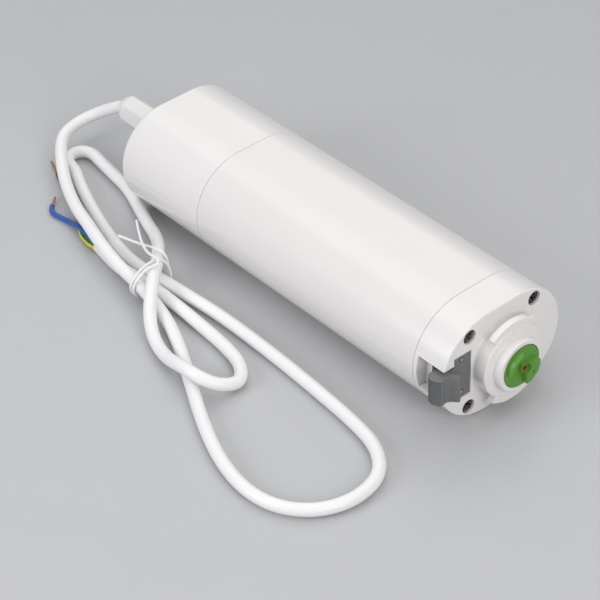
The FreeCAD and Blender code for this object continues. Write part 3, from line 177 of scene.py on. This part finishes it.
surfaceLook = {
    "cloudNoise": (38.0, 3.0), "cloudShare": 0.7, "fineNoise": (3.0, 0.6),
    "patchNoise": (4.0, 0.65), "patchEdge": 0.06, "patchRough": 0.08,
    "hairScale": (40, 420, 300), "hairNoise": (1.0, 5.0, 0.75), "hairs": ((0.58, 0), (0.70, 1)),
    "stripes": ((0.10, 1), (0.13, 0), (0.64, 0), (0.67, 1)), "coatRough": 0.12,
}
materials = {}


def makeMaterial(name, finish):
    look = surfaceLook
    made = bpy.data.materials.new(name)
    made.use_nodes = True
    tree = made.node_tree
    surface = tree.nodes["Principled BSDF"]
    shade = Shade(tree)
    place = shade.add("ShaderNodeTexCoord", output="Object")
    grained = stretched(shade, place, finish.get("stretch", (1, 1, 1)))
    cloudy = noise(shade, place, *look["cloudNoise"])
    fine = noise(shade, grained, finish["grain"], *look["fineNoise"])
    blotch = cloudy * look["cloudShare"] + fine * (1 - look["cloudShare"])
    colour = colourMix(shade, blotch, finish["tone"] + (1,), finish["shadeTone"] + (1,))
    rough = blotch * finish["spread"] + (finish["rough"] - finish["spread"] * 0.5)
    if "patch" in finish:
        patchTone, patchGrain, patchFrom = finish["patch"]
        spots = noise(shade, place, patchGrain, *look["patchNoise"])
        worn = ramp(shade, spots, (patchFrom - look["patchEdge"], 0), (patchFrom + look["patchEdge"], 1))
        colour = colourMix(shade, worn, colour, patchTone + (1,))
        rough = rough + worn * look["patchRough"]
    if "scuff" in finish:
        hairs = noise(shade, stretched(shade, place, look["hairScale"]), *look["hairNoise"])
        rough = rough + ramp(shade, hairs, *look["hairs"]) * finish["scuff"]
    if "stripe" in finish:
        side = shade.add("ShaderNodeAttribute", {"attribute_name": "stripeSide"}, output="Fac")
        band = ramp(shade, side * 0.5 + 0.5, *look["stripes"])
        colour = colourMix(shade, band, colour, finish["stripe"] + (1,))
    bump = shade.add("ShaderNodeBump", None, {"Distance": finish["bump"] * mm, "Height": fine, "Strength": 1.0})
    tree.links.new(colour.socket, surface.inputs["Base Color"])
    tree.links.new(rough.socket, surface.inputs["Roughness"])
    tree.links.new(bump.socket, surface.inputs["Normal"])
    surface.inputs["Metallic"].default_value = finish.get("metal", 0.0)
    surface.inputs["Coat Weight"].default_value = finish.get("coat", 0.0)
    surface.inputs["Coat Roughness"].default_value = look["coatRough"]
    return made


for name, finish in finishes.items():
    materials[name] = makeMaterial(name, finish)
slotOf = {part["node"]: part["material_slot"] for part in frame["record"]["subparts"]}
for name, node in frame["nodes"].items():
    node.data.materials.clear()
    node.data.materials.append(materials[slotOf[name]])
print("materials made:", len(materials))


# Bench helpers

meshLook = {"weld": 0.002, "flatAngle": 0.4, "softAngle": 34, "facing": 0.9, "nearTop": 0.99}


def placed(name, data):
    made = bpy.data.objects.new(name, data)
    bpy.context.scene.collection.objects.link(made)
    return made


def onlyThis(piece):
    bpy.ops.object.select_all(action="DESELECT")
    piece.select_set(True)
    bpy.context.view_layer.objects.active = piece


def openMesh(piece):
    onlyThis(piece)
    bpy.ops.object.mode_set(mode="EDIT")
    bpy.ops.mesh.select_all(action="DESELECT")


def closeMesh():
    bpy.ops.object.mode_set(mode="OBJECT")


def pick(piece, kind, wanted):
    bpy.ops.mesh.select_mode(type=kind)
    bpy.ops.mesh.select_all(action="DESELECT")
    mesh = bmesh.from_edit_mesh(piece.data)
    items = {"VERT": mesh.verts, "EDGE": mesh.edges, "FACE": mesh.faces}
    for item in items[kind]:
        if wanted(item):
            item.select_set(True)
    mesh.select_flush(True)
    bmesh.update_edit_mesh(piece.data)


def applied(piece, kind, **settings):
    onlyThis(piece)
    modifier = piece.modifiers.new(kind.lower(), kind)
    for name, value in settings.items():
        setattr(modifier, name, value)
    bpy.ops.object.modifier_apply(modifier=modifier.name)


def smoothUpTo(piece, angle):
    onlyThis(piece)
    bpy.ops.object.shade_smooth_by_angle(angle=math.radians(angle))


def softEdges(piece, width, segments=2, angle=meshLook["softAngle"]):
    applied(piece, "BEVEL", width=width * mm, segments=segments, limit_method="ANGLE",
            angle_limit=math.radians(angle), use_clamp_overlap=False)
    smoothUpTo(piece, angle)


def cutWith(piece, cutter):
    applied(piece, "BOOLEAN", operation="DIFFERENCE", solver="EXACT", object=cutter)
    bpy.data.objects.remove(cutter, do_unlink=True)


def facingUp(face):
    return face.normal.z > meshLook["facing"]


def facingDown(face):
    return face.normal.z < -meshLook["facing"]


def dressed(piece, body, slot, *nodes):
    piece.data.materials.clear()
    piece.data.materials.append(materials[slot])
    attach(piece, body)
    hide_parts(*nodes)


def fromFrame(name, node):
    # a copy of a CAD node's mesh, with its flat faces whole again, to bevel and dress
    piece = placed(name, frame["nodes"][node].data.copy())
    onlyThis(piece)
    bpy.ops.mesh.customdata_custom_splitnormals_clear()
    openMesh(piece)
    bpy.ops.mesh.select_all(action="SELECT")
    bpy.ops.mesh.remove_doubles(threshold=meshLook["weld"] * mm)
    bpy.ops.mesh.dissolve_limited(angle_limit=math.radians(meshLook["flatAngle"]))
    closeMesh()
    return piece


# Pan head screws with a cross recess: turned once for each end, then copied to the corners

screwLook = {
    "headRadius": 3.3, "headHeight": 2.5, "shankRadius": 1.45, "sides": 48, "smooth": 32,
    "crown": 0.7, "crownSteps": 5, "crownProfile": 0.55,
    "crossLong": 3.9, "crossWide": 1.0, "crossDepth": 1.6, "crossTaper": (0.45, 0.6), "crossPast": 0.1,
    "across": 19.0, "above": 19.0,
    "front": {"name": "cap_screw", "node": "cap_screws", "seat": 105.7, "side": 1, "shank": 21.4,
              "turns": (22, 51, 8, 67)},
    "rear": {"name": "rear_screw", "node": "rear_screws", "seat": -105.7, "side": -1, "shank": 60.7,
             "turns": (35, 12, 74, 50)},
}


def turnScrew(name, shank):
    look = screwLook
    height = look["headHeight"] * mm
    bpy.ops.object.select_all(action="DESELECT")
    bpy.ops.mesh.primitive_cylinder_add(vertices=look["sides"], radius=look["headRadius"] * mm, depth=height,
                                        location=(0, 0, height / 2))
    screw = bpy.context.object
    screw.name = name
    bpy.ops.object.transform_apply(location=True, rotation=True, scale=True)
    openMesh(screw)
    pick(screw, "EDGE", lambda edge: all(vert.co.z > height * meshLook["nearTop"] for vert in edge.verts))
    bpy.ops.mesh.bevel(offset=look["crown"] * mm, segments=look["crownSteps"], profile=look["crownProfile"])
    pick(screw, "FACE", facingDown)
    bpy.ops.mesh.inset(thickness=(look["headRadius"] - look["shankRadius"]) * mm)
    bpy.ops.mesh.extrude_region_move(TRANSFORM_OT_translate={"value": (0, 0, -shank * mm)})
    closeMesh()
    for turn in (0, 90):
        cutWith(screw, crossBlade(height, turn))
    smoothUpTo(screw, look["smooth"])
    return screw


def crossBlade(height, turn):
    look = screwLook
    deep = look["crossDepth"] * mm
    bpy.ops.object.select_all(action="DESELECT")
    bpy.ops.mesh.primitive_cube_add(size=1, location=(0, 0, height - deep / 2 + look["crossPast"] * mm))
    blade = bpy.context.object
    blade.scale = (look["crossLong"] * mm, look["crossWide"] * mm, deep)
    bpy.ops.object.transform_apply(location=True, rotation=True, scale=True)
    openMesh(blade)
    pick(blade, "FACE", facingDown)
    bpy.ops.transform.resize(value=(*look["crossTaper"], 1), center_override=(0, 0, 0))
    closeMesh()
    blade.data.transform(Matrix.Rotation(math.radians(turn), 4, "Z"))
    return blade


corners = [(y, z) for y in (-1, 1) for z in (-1, 1)]
for place in (screwLook["front"], screwLook["rear"]):
    pattern = turnScrew(place["name"], place["shank"])
    for number, ((y, z), turn) in enumerate(zip(corners, place["turns"]), 1):
        screw = placed(f"{place['name']}_{number}", pattern.data.copy())
        facing = Matrix.Rotation(math.radians(90 * place["side"]), 4, "Y")
        spot = (place["seat"] * mm, y * screwLook["across"] * mm, (axisHeight + z * screwLook["above"]) * mm)
        screw.data.transform(Matrix.Translation(spot) @ facing @ Matrix.Rotation(math.radians(turn), 4, "Z"))
        dressed(screw, "housing", "screw_steel", place["node"])
    bpy.data.objects.remove(pattern, do_unlink=True)
print("screws set")


# Output coupling: the arc dog is drawn in a little, its top is a half round, and every other edge is eased

couplingLook = {
    "flange": 121.09, "dogTop": 124.2, "arcRadii": (7.8, 9.7), "arcTurn": 140, "inwards": 0.915,
    "nearArc": 0.06, "nearTop": 0.02, "sameRadius": 0.1, "round": 0.84, "roundSteps": 6, "edge": 0.16,
}
coupling = fromFrame("drive_coupling", "coupling")


def fromAxis(vert):
    return Vector((vert.co.y, vert.co.z - axisHeight * mm))


def onArcDog(vert):
    look = couplingLook
    turn = math.radians(look["arcTurn"])
    spot = fromAxis(vert)
    if vert.co.x < look["flange"] * mm or spot.dot(Vector((math.cos(turn), math.sin(turn)))) < 0:
        return False
    return min(abs(spot.length - radius * mm) for radius in look["arcRadii"]) < look["nearArc"] * mm


def alongDogTop(edge):
    look = couplingLook
    onTop = all(vert.co.x > (look["dogTop"] - look["nearTop"]) * mm for vert in edge.verts)
    first, second = (fromAxis(vert).length for vert in edge.verts)
    return onTop and edge.select and abs(first - second) < look["sameRadius"] * mm


openMesh(coupling)
pick(coupling, "VERT", onArcDog)
inwards = couplingLook["inwards"]
bpy.ops.transform.resize(value=(1, inwards, inwards), center_override=(0, 0, axisHeight * mm))
# edges with both ends on the dog stay selected
bpy.ops.mesh.select_mode(type="EDGE")
topEdges = {edge.index for edge in bmesh.from_edit_mesh(coupling.data).edges if alongDogTop(edge)}
pick(coupling, "EDGE", lambda edge: edge.index in topEdges)
bpy.ops.mesh.bevel(offset=couplingLook["round"] * mm, segments=couplingLook["roundSteps"])
closeMesh()
softEdges(coupling, couplingLook["edge"])
dressed(coupling, "output", "green_plastic", "coupling")


# Latch slider, with the eased edges of a moulding

latchLook = {"edge": 0.22}
slider = fromFrame("latch_thumb_slider", "latch_slider")
softEdges(slider, latchLook["edge"])
dressed(slider, "latch", "grey_plastic", "latch_slider")

# The two springs behind the slider get smooth shading and a mesh of their own; the real springs shorten as the
# slider is pushed back
springLook = {"seat": 93.8, "travel": 5.0, "smooth": 40}
springs = fromFrame("latch_coil_springs", "latch_springs")
smoothUpTo(springs, springLook["smooth"])
dressed(springs, "housing", "bright_steel", "latch_springs")
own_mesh(springs)


# Cable gland: a long hexagon nut that tapers to a hexagon mouth, bored for the thread and the cord

nutLook = {
    "seat": -122.0, "turn": 44, "corner": 7.4, "flats": 24.4, "taper": 4.9, "tip": 4.5,
    "ease": 0.7, "easeSteps": 4, "smooth": 30,
    "mouth": 4.1, "throat": 3.87, "mouthDepth": 5.0, "thread": 5.9, "threadDepth": 11.4, "bore": 3.25, "past": 0.2,
}
hexBodyLook = {"edge": 0.3, "segments": 3, "angle": 30}


def bored(piece, radii, low, high, sides=48):
    # takes a straight or tapered hole out of a piece that stands on its own z axis
    bpy.ops.object.select_all(action="DESELECT")
    bpy.ops.mesh.primitive_cone_add(vertices=sides, radius1=radii[0] * mm, radius2=radii[1] * mm,
                                    depth=(high - low) * mm, location=(0, 0, (low + high) / 2 * mm))
    cutWith(piece, bpy.context.object)


def makeGlandNut():
    look = nutLook
    tip = look["flats"] + look["taper"]
    bpy.ops.object.select_all(action="DESELECT")
    bpy.ops.mesh.primitive_cylinder_add(vertices=6, radius=look["corner"] * mm, depth=look["flats"] * mm,
                                        location=(0, 0, look["flats"] / 2 * mm))
    nut = bpy.context.object
    nut.name = "gland_cap_nut"
    bpy.ops.object.transform_apply(location=True, rotation=True, scale=True)
    openMesh(nut)
    pick(nut, "FACE", facingUp)
    bpy.ops.mesh.extrude_region_move(TRANSFORM_OT_translate={"value": (0, 0, look["taper"] * mm)})
    small = look["tip"] / look["corner"]
    bpy.ops.transform.resize(value=(small, small, 1), center_override=(0, 0, tip * mm))
    pick(nut, "EDGE", lambda edge: any(vert.co.z < tip * meshLook["nearTop"] * mm for vert in edge.verts))
    bpy.ops.mesh.bevel(offset=look["ease"] * mm, segments=look["easeSteps"])
    closeMesh()
    # each hole runs a little past the face or the hole that it opens into
    past = look["past"]
    widen = (look["mouth"] - look["throat"]) * past / look["mouthDepth"]
    bored(nut, (look["throat"], look["mouth"] + widen), tip - look["mouthDepth"], tip + past, 6)
    bored(nut, (look["bore"], look["bore"]), look["threadDepth"] - past, tip - look["mouthDepth"] + past)
    bored(nut, (look["thread"], look["thread"]), -past, look["threadDepth"])
    smoothUpTo(nut, look["smooth"])
    upright = Matrix.Rotation(math.radians(-90), 4, "Y") @ Matrix.Rotation(math.radians(look["turn"]), 4, "Z")
    nut.data.transform(Matrix.Translation((look["seat"] * mm, 0, axisHeight * mm)) @ upright)
    dressed(nut, "housing", "white_nylon", "gland_nut")


makeGlandNut()
hexBody = fromFrame("gland_hex_body", "gland_body")
softEdges(hexBody, hexBodyLook["edge"], hexBodyLook["segments"], hexBodyLook["angle"])
dressed(hexBody, "housing", "white_nylon", "gland_body")
print("coupling, latch and gland dressed")


# Cord, its three cores and the twist tie, each one smooth line. Their lengths are in metres.

def roundCurve(name, radius, around, along=12):
    data = bpy.data.curves.new(name, "CURVE")
    data.dimensions = "3D"
    data.bevel_depth = radius * mm
    data.bevel_resolution = around
    data.resolution_u = along
    data.use_fill_caps = True
    return placed(name, data)


def addLine(curve, points):
    spline = curve.data.splines.new("NURBS")
    spline.points.add(len(points) - 1)
    for point, (x, y, z) in zip(spline.points, points):
        point.co = (x * mm, y * mm, z * mm, 1.0)
    spline.order_u = 3
    spline.use_endpoint_u = True


def smoothCord(name, points, radius, slot, around=8):
    made = roundCurve(name, radius, around)
    addLine(made, points)
    made.data.materials.append(materials[slot])
    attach(made, "housing")
    return made


cordRoute = [
    (-142.6, 0, 26), (-151, 0, 26), (-159.4, -2.5, 21.4), (-167.8, -5.6, 15.9), (-172.8, -12.5, 12.2),
    (-172.8, -21.7, 10.2), (-168.6, -28.4, 8.8), (-154.2, -38.7, 7.8), (-138.5, -47.5, 7.5),
    (-119.6, -55.6, 8.4), (-104.7, -59.9, 9.3), (-91, -64.4, 10.2), (-76.6, -67.9, 9.9), (-64.6, -69.4, 9),
    (-53.6, -70.1, 8.3), (-44, -70.8, 6.4), (-35, -71.6, 3.9), (-23.4, -75, 3.1), (-7.6, -82, 3.1),
    (14.7, -94, 3.1), (37.7, -106.2, 3.1), (60.5, -115.5, 3.1), (81.1, -119.2, 3.1), (97.9, -115.8, 3.1),
    (110.2, -105.2, 3.1), (115.6, -89.5, 3.1), (112, -72.2, 3.1), (98.3, -61.7, 3.1), (79.1, -58.1, 3.1),
    (54.4, -56, 3.1), (29.4, -54.4, 3.1), (4.8, -53.6, 3.1), (-17.1, -53.6, 3.1), (-36, -55.7, 3.8),
    (-51.6, -57.9, 5), (-64, -58.6, 4.2), (-79.3, -57.5, 3.1), (-99.5, -53.2, 3.1), (-123.8, -45.1, 3.1),
    (-141.9, -37.8, 3.1), (-150.5, -33.2, 3.1), (-159.8, -31.6, 3.1), (-163.6, -27.3, 3.1), (-163, -21.6, 3.1),
    (-157.7, -18, 3.1), (-147.4, -19.7, 3.1), (-133.7, -21.8, 3.1), (-120.1, -23.7, 3.1), (-92, -34.9, 4),
    (-73.6, -42.2, 8), (-60, -52.4, 11.7), (-51, -61, 13.6), (-42.6, -69.8, 13.9), (-35.4, -77.4, 8.8),
    (-27.6, -83.2, 4.9), (-17.5, -87.8, 3.4), (-5.1, -91.4, 5.2), (8, -93.2, 9.9), (18.7, -92.5, 9.9),
    (25.2, -86.6, 5.9), (27.4, -76.7, 3.2), (17.8, -68.7, 3.1), (2.8, -65.7, 3.1), (-16, -64.4, 3.1),
    (-34, -63.7, 3.8), (-51.6, -64.4, 5), (-63.6, -65, 4.1), (-74.4, -65.2, 3.1), (-84.4, -63.9, 3.1),
    (-93.8, -62.1, 3.1),
]
cordLook = {"radius": 3.0, "length": 1.022}
cord = smoothCord("mains_cord", cordRoute, cordLook["radius"], "white_cord", 12)
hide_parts("cord")

coreRoutes = {
    "brown_core": {"slot": "wire_brown", "length": 0.0662, "copper": 11.8, "route": [
        (-93.6, -60.9, 1.9), (-98.2, -59.3, 1.6), (-104.6, -56.4, 1.3), (-112, -53.9, 1.3), (-118.6, -51.6, 1.3),
        (-126, -48.9, 1.3), (-134.6, -45.7, 1.3), (-144.2, -43, 1.3), (-151.2, -42, 1.3), (-156.7, -39.9, 1.3),
    ]},
    "earth_core": {"slot": "wire_earth", "length": 0.0306, "copper": 3.6, "route": [
        (-94.2, -63.6, 2.6), (-98.3, -63.7, 1.9), (-103.1, -63, 1.3), (-108.4, -61.7, 1.3), (-112.6, -59.2, 1.3),
        (-115.6, -56.6, 1.3), (-118.3, -54.9, 1.3), (-121.5, -53.2, 1.3),
    ]},
    "blue_core": {"slot": "wire_blue", "length": 0.0448, "copper": 7.0, "route": [
        (-93.9, -61.9, 4.5), (-99.2, -61.9, 4.4), (-104.6, -61.3, 4.1), (-108.8, -60.8, 3.95), (-112.8, -60.3, 3.8),
        (-117.6, -59.8, 2.2), (-122.4, -59.5, 1.3), (-129.6, -60.9, 1.3), (-134.6, -60.6, 1.3), (-137.2, -57.6, 1.3),
    ]},
}
# stripeFrom is the direction that tells the two sides of the earth core apart
coreLook = {"radius": 1.2, "stripeFrom": (0.51, 0.49, 0.70)}


def lineOf(curve):
    # points along the core's own smooth line
    depth, curve.data.bevel_depth = curve.data.bevel_depth, 0.0
    bpy.context.view_layer.update()
    line = bpy.data.meshes.new_from_object(curve.evaluated_get(bpy.context.evaluated_depsgraph_get()))
    curve.data.bevel_depth = depth
    return [vert.co.copy() for vert in line.vertices]


def stripedTube(curve, line):
    # the same core as a mesh, with a value on each point that says which side of the core it is on
    onlyThis(curve)
    bpy.ops.object.convert(target="MESH")
    towards = Vector(coreLook["stripeFrom"]).normalized()
    side = curve.data.attributes.new("stripeSide", "FLOAT", "POINT")
    for index, vert in enumerate(curve.data.vertices):
        nearest = min(line, key=lambda point: (point - vert.co).length_squared)
        side.data[index].value = (vert.co - nearest).dot(towards) / (coreLook["radius"] * mm)


for name, look in coreRoutes.items():
    slot = look["slot"]
    core = smoothCord(name, look["route"], coreLook["radius"], slot)
    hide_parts(slot)
    facts = {"exit": [v * mm for v in look["route"][0]], "length": look["length"],
             "diameter": 2 * coreLook["radius"] * mm, "far_end": "bare", "stiffness": "medium", "lay": "loose"}
    if slot == "wire_earth":
        line = lineOf(core)
        stripedTube(core, line)
        facts["path"] = line


# Stranded copper at the end of each core: six strands twisted round a seventh

strandLook = {
    "radius": 0.235, "around": 2, "along": 4, "smooth": 50, "ring": 0.43, "apart": 60, "pitch": 11.0, "steps": 7,
    "trims": (0, 0.5, 0.2, 0.7, 0.1, 0.4, 0.3),
}


def strandEnds(name, route, length):
    look = strandLook
    end, before = Vector(route[-1]), Vector(route[-2])
    ahead = (end - before).normalized()
    sideways = ahead.cross(Vector((0, 0, 1))).normalized()
    upwards = sideways.cross(ahead)
    made = roundCurve(name, look["radius"], look["around"], look["along"])
    for number, trim in enumerate(look["trims"]):
        out = 0.0 if number == 0 else look["ring"]
        points = []
        for step in range(look["steps"]):
            gone = (length - trim) * step / (look["steps"] - 1)
            turn = math.radians(look["apart"] * number + 360 * gone / look["pitch"])
            points.append(end + ahead * gone + (sideways * math.cos(turn) + upwards * math.sin(turn)) * out)
        addLine(made, points)
    onlyThis(made)
    bpy.ops.object.convert(target="MESH")
    smoothUpTo(made, look["smooth"])
    dressed(made, "housing", "copper_wire", "wire_tips")


for name, look in coreRoutes.items():
    strandEnds(name.replace("core", "copper"), look["route"], look["copper"])


# Twist tie round the four strands of the cord

tieRoute = [
    (-84.6, -45.8, 14.6), (-74.6, -52.2, 16), (-64.4, -57.6, 17.2), (-56.4, -60.6, 18.6), (-49.4, -60.4, 19.9),
    (-46.9, -62.4, 18.8), (-49.5, -65.9, 17.6), (-51.2, -71, 13.6), (-51.4, -75.4, 7.8), (-51.3, -70.6, 0.8),
    (-51, -53.4, 0.7), (-50.8, -52.6, 8.6), (-51.5, -56.6, 16.9), (-52.3, -63.6, 17.6), (-53.2, -71, 13.8),
    (-53.3, -75.4, 7.8), (-53.2, -70.6, 0.8), (-52.9, -53.4, 0.7), (-52.7, -52.4, 8.6), (-52.6, -53.6, 16.4),
    (-56, -54.6, 18.2), (-62.8, -54.6, 16), (-72.8, -55.8, 13.6), (-83.8, -57.2, 12.2),
]
tieLook = {"radius": 0.6, "length": 0.1929}
tie = smoothCord("wire_tie", tieRoute, tieLook["radius"], "white_cord")
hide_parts("twist_tie")
print("cords laid")


# Floor, light and camera, with places and sizes in metres

floorLook = {
    "size": 6.0, "height": -0.0002,
    "finish": {"tone": (0.52, 0.525, 0.535), "shadeTone": (0.50, 0.505, 0.515), "rough": 0.30, "spread": 0.03,
               "grain": 300, "bump": 0.002},
}
bpy.ops.object.select_all(action="DESELECT")
bpy.ops.mesh.primitive_plane_add(size=floorLook["size"], location=(0, 0, floorLook["height"]))
floor = bpy.context.object
floor.name = "floor"
bpy.ops.object.transform_apply(location=True, rotation=True, scale=True)
floor.data.materials.append(makeMaterial("floorBoard", floorLook["finish"]))

studioLook = {"tone": (0.93, 0.95, 1.0), "strength": 0.40}
world = bpy.data.worlds.new("studio")
bpy.context.scene.world = world
world.use_nodes = True
world.node_tree.nodes["Background"].inputs["Color"].default_value = studioLook["tone"] + (1,)
world.node_tree.nodes["Background"].inputs["Strength"].default_value = studioLook["strength"]

lamps = {
    "overhead": {"place": (-0.20, 0.30, 1.00), "target": (0, -0.02, 0.03), "size": 1.7, "power": 7.3,
                 "tone": (1.0, 0.985, 0.965)},
    "front": {"place": (1.05, -0.25, 0.60), "target": (0.08, 0, 0.02), "size": 0.6, "power": 5.4,
              "tone": (1.0, 0.98, 0.96)},
    "side": {"place": (-0.25, -0.95, 0.50), "target": (0, -0.03, 0.02), "size": 0.5, "power": 4.2,
             "tone": (0.97, 0.98, 1.0)},
}
for name, lamp in lamps.items():
    data = bpy.data.lights.new(name, "AREA")
    data.shape = "SQUARE"
    data.size = lamp["size"]
    data.energy = lamp["power"]
    data.color = lamp["tone"]
    made = placed(name, data)
    made.location = lamp["place"]
    aim = Vector(lamp["target"]) - Vector(lamp["place"])
    made.rotation_euler = aim.to_track_quat("-Z", "Y").to_euler()

cameraLook = {
    "place": (0.62251, -0.53691, 0.64706), "turn": 50.23, "tilt": 38.56, "roll": -2.26,
    "lens": 136.7, "sensor": 36.0, "reach": 20.0,
}
# the camera's forward, sideways and upright axes, from its turn, tilt and roll
turn, tilt, roll = (math.radians(cameraLook[key]) for key in ("turn", "tilt", "roll"))
level = Vector((-math.sin(turn), math.cos(turn), 0))
side = Vector((math.cos(turn), math.sin(turn), 0))
up = Vector((0, 0, 1))
forward = level * math.cos(tilt) - up * math.sin(tilt)
over = level * math.sin(tilt) + up * math.cos(tilt)
across = side * math.cos(roll) + over * math.sin(roll)
upright = over * math.cos(roll) - side * math.sin(roll)
cameraData = bpy.data.cameras.new("camera")
cameraData.lens = cameraLook["lens"]
cameraData.sensor_width = cameraLook["sensor"]
cameraData.clip_end = cameraLook["reach"]
camera = placed("camera", cameraData)
turned = Matrix((across, upright, -forward)).transposed()
camera.matrix_world = Matrix.Translation(cameraLook["place"]) @ turned.to_4x4()
bpy.context.scene.camera = camera
print("stage set")
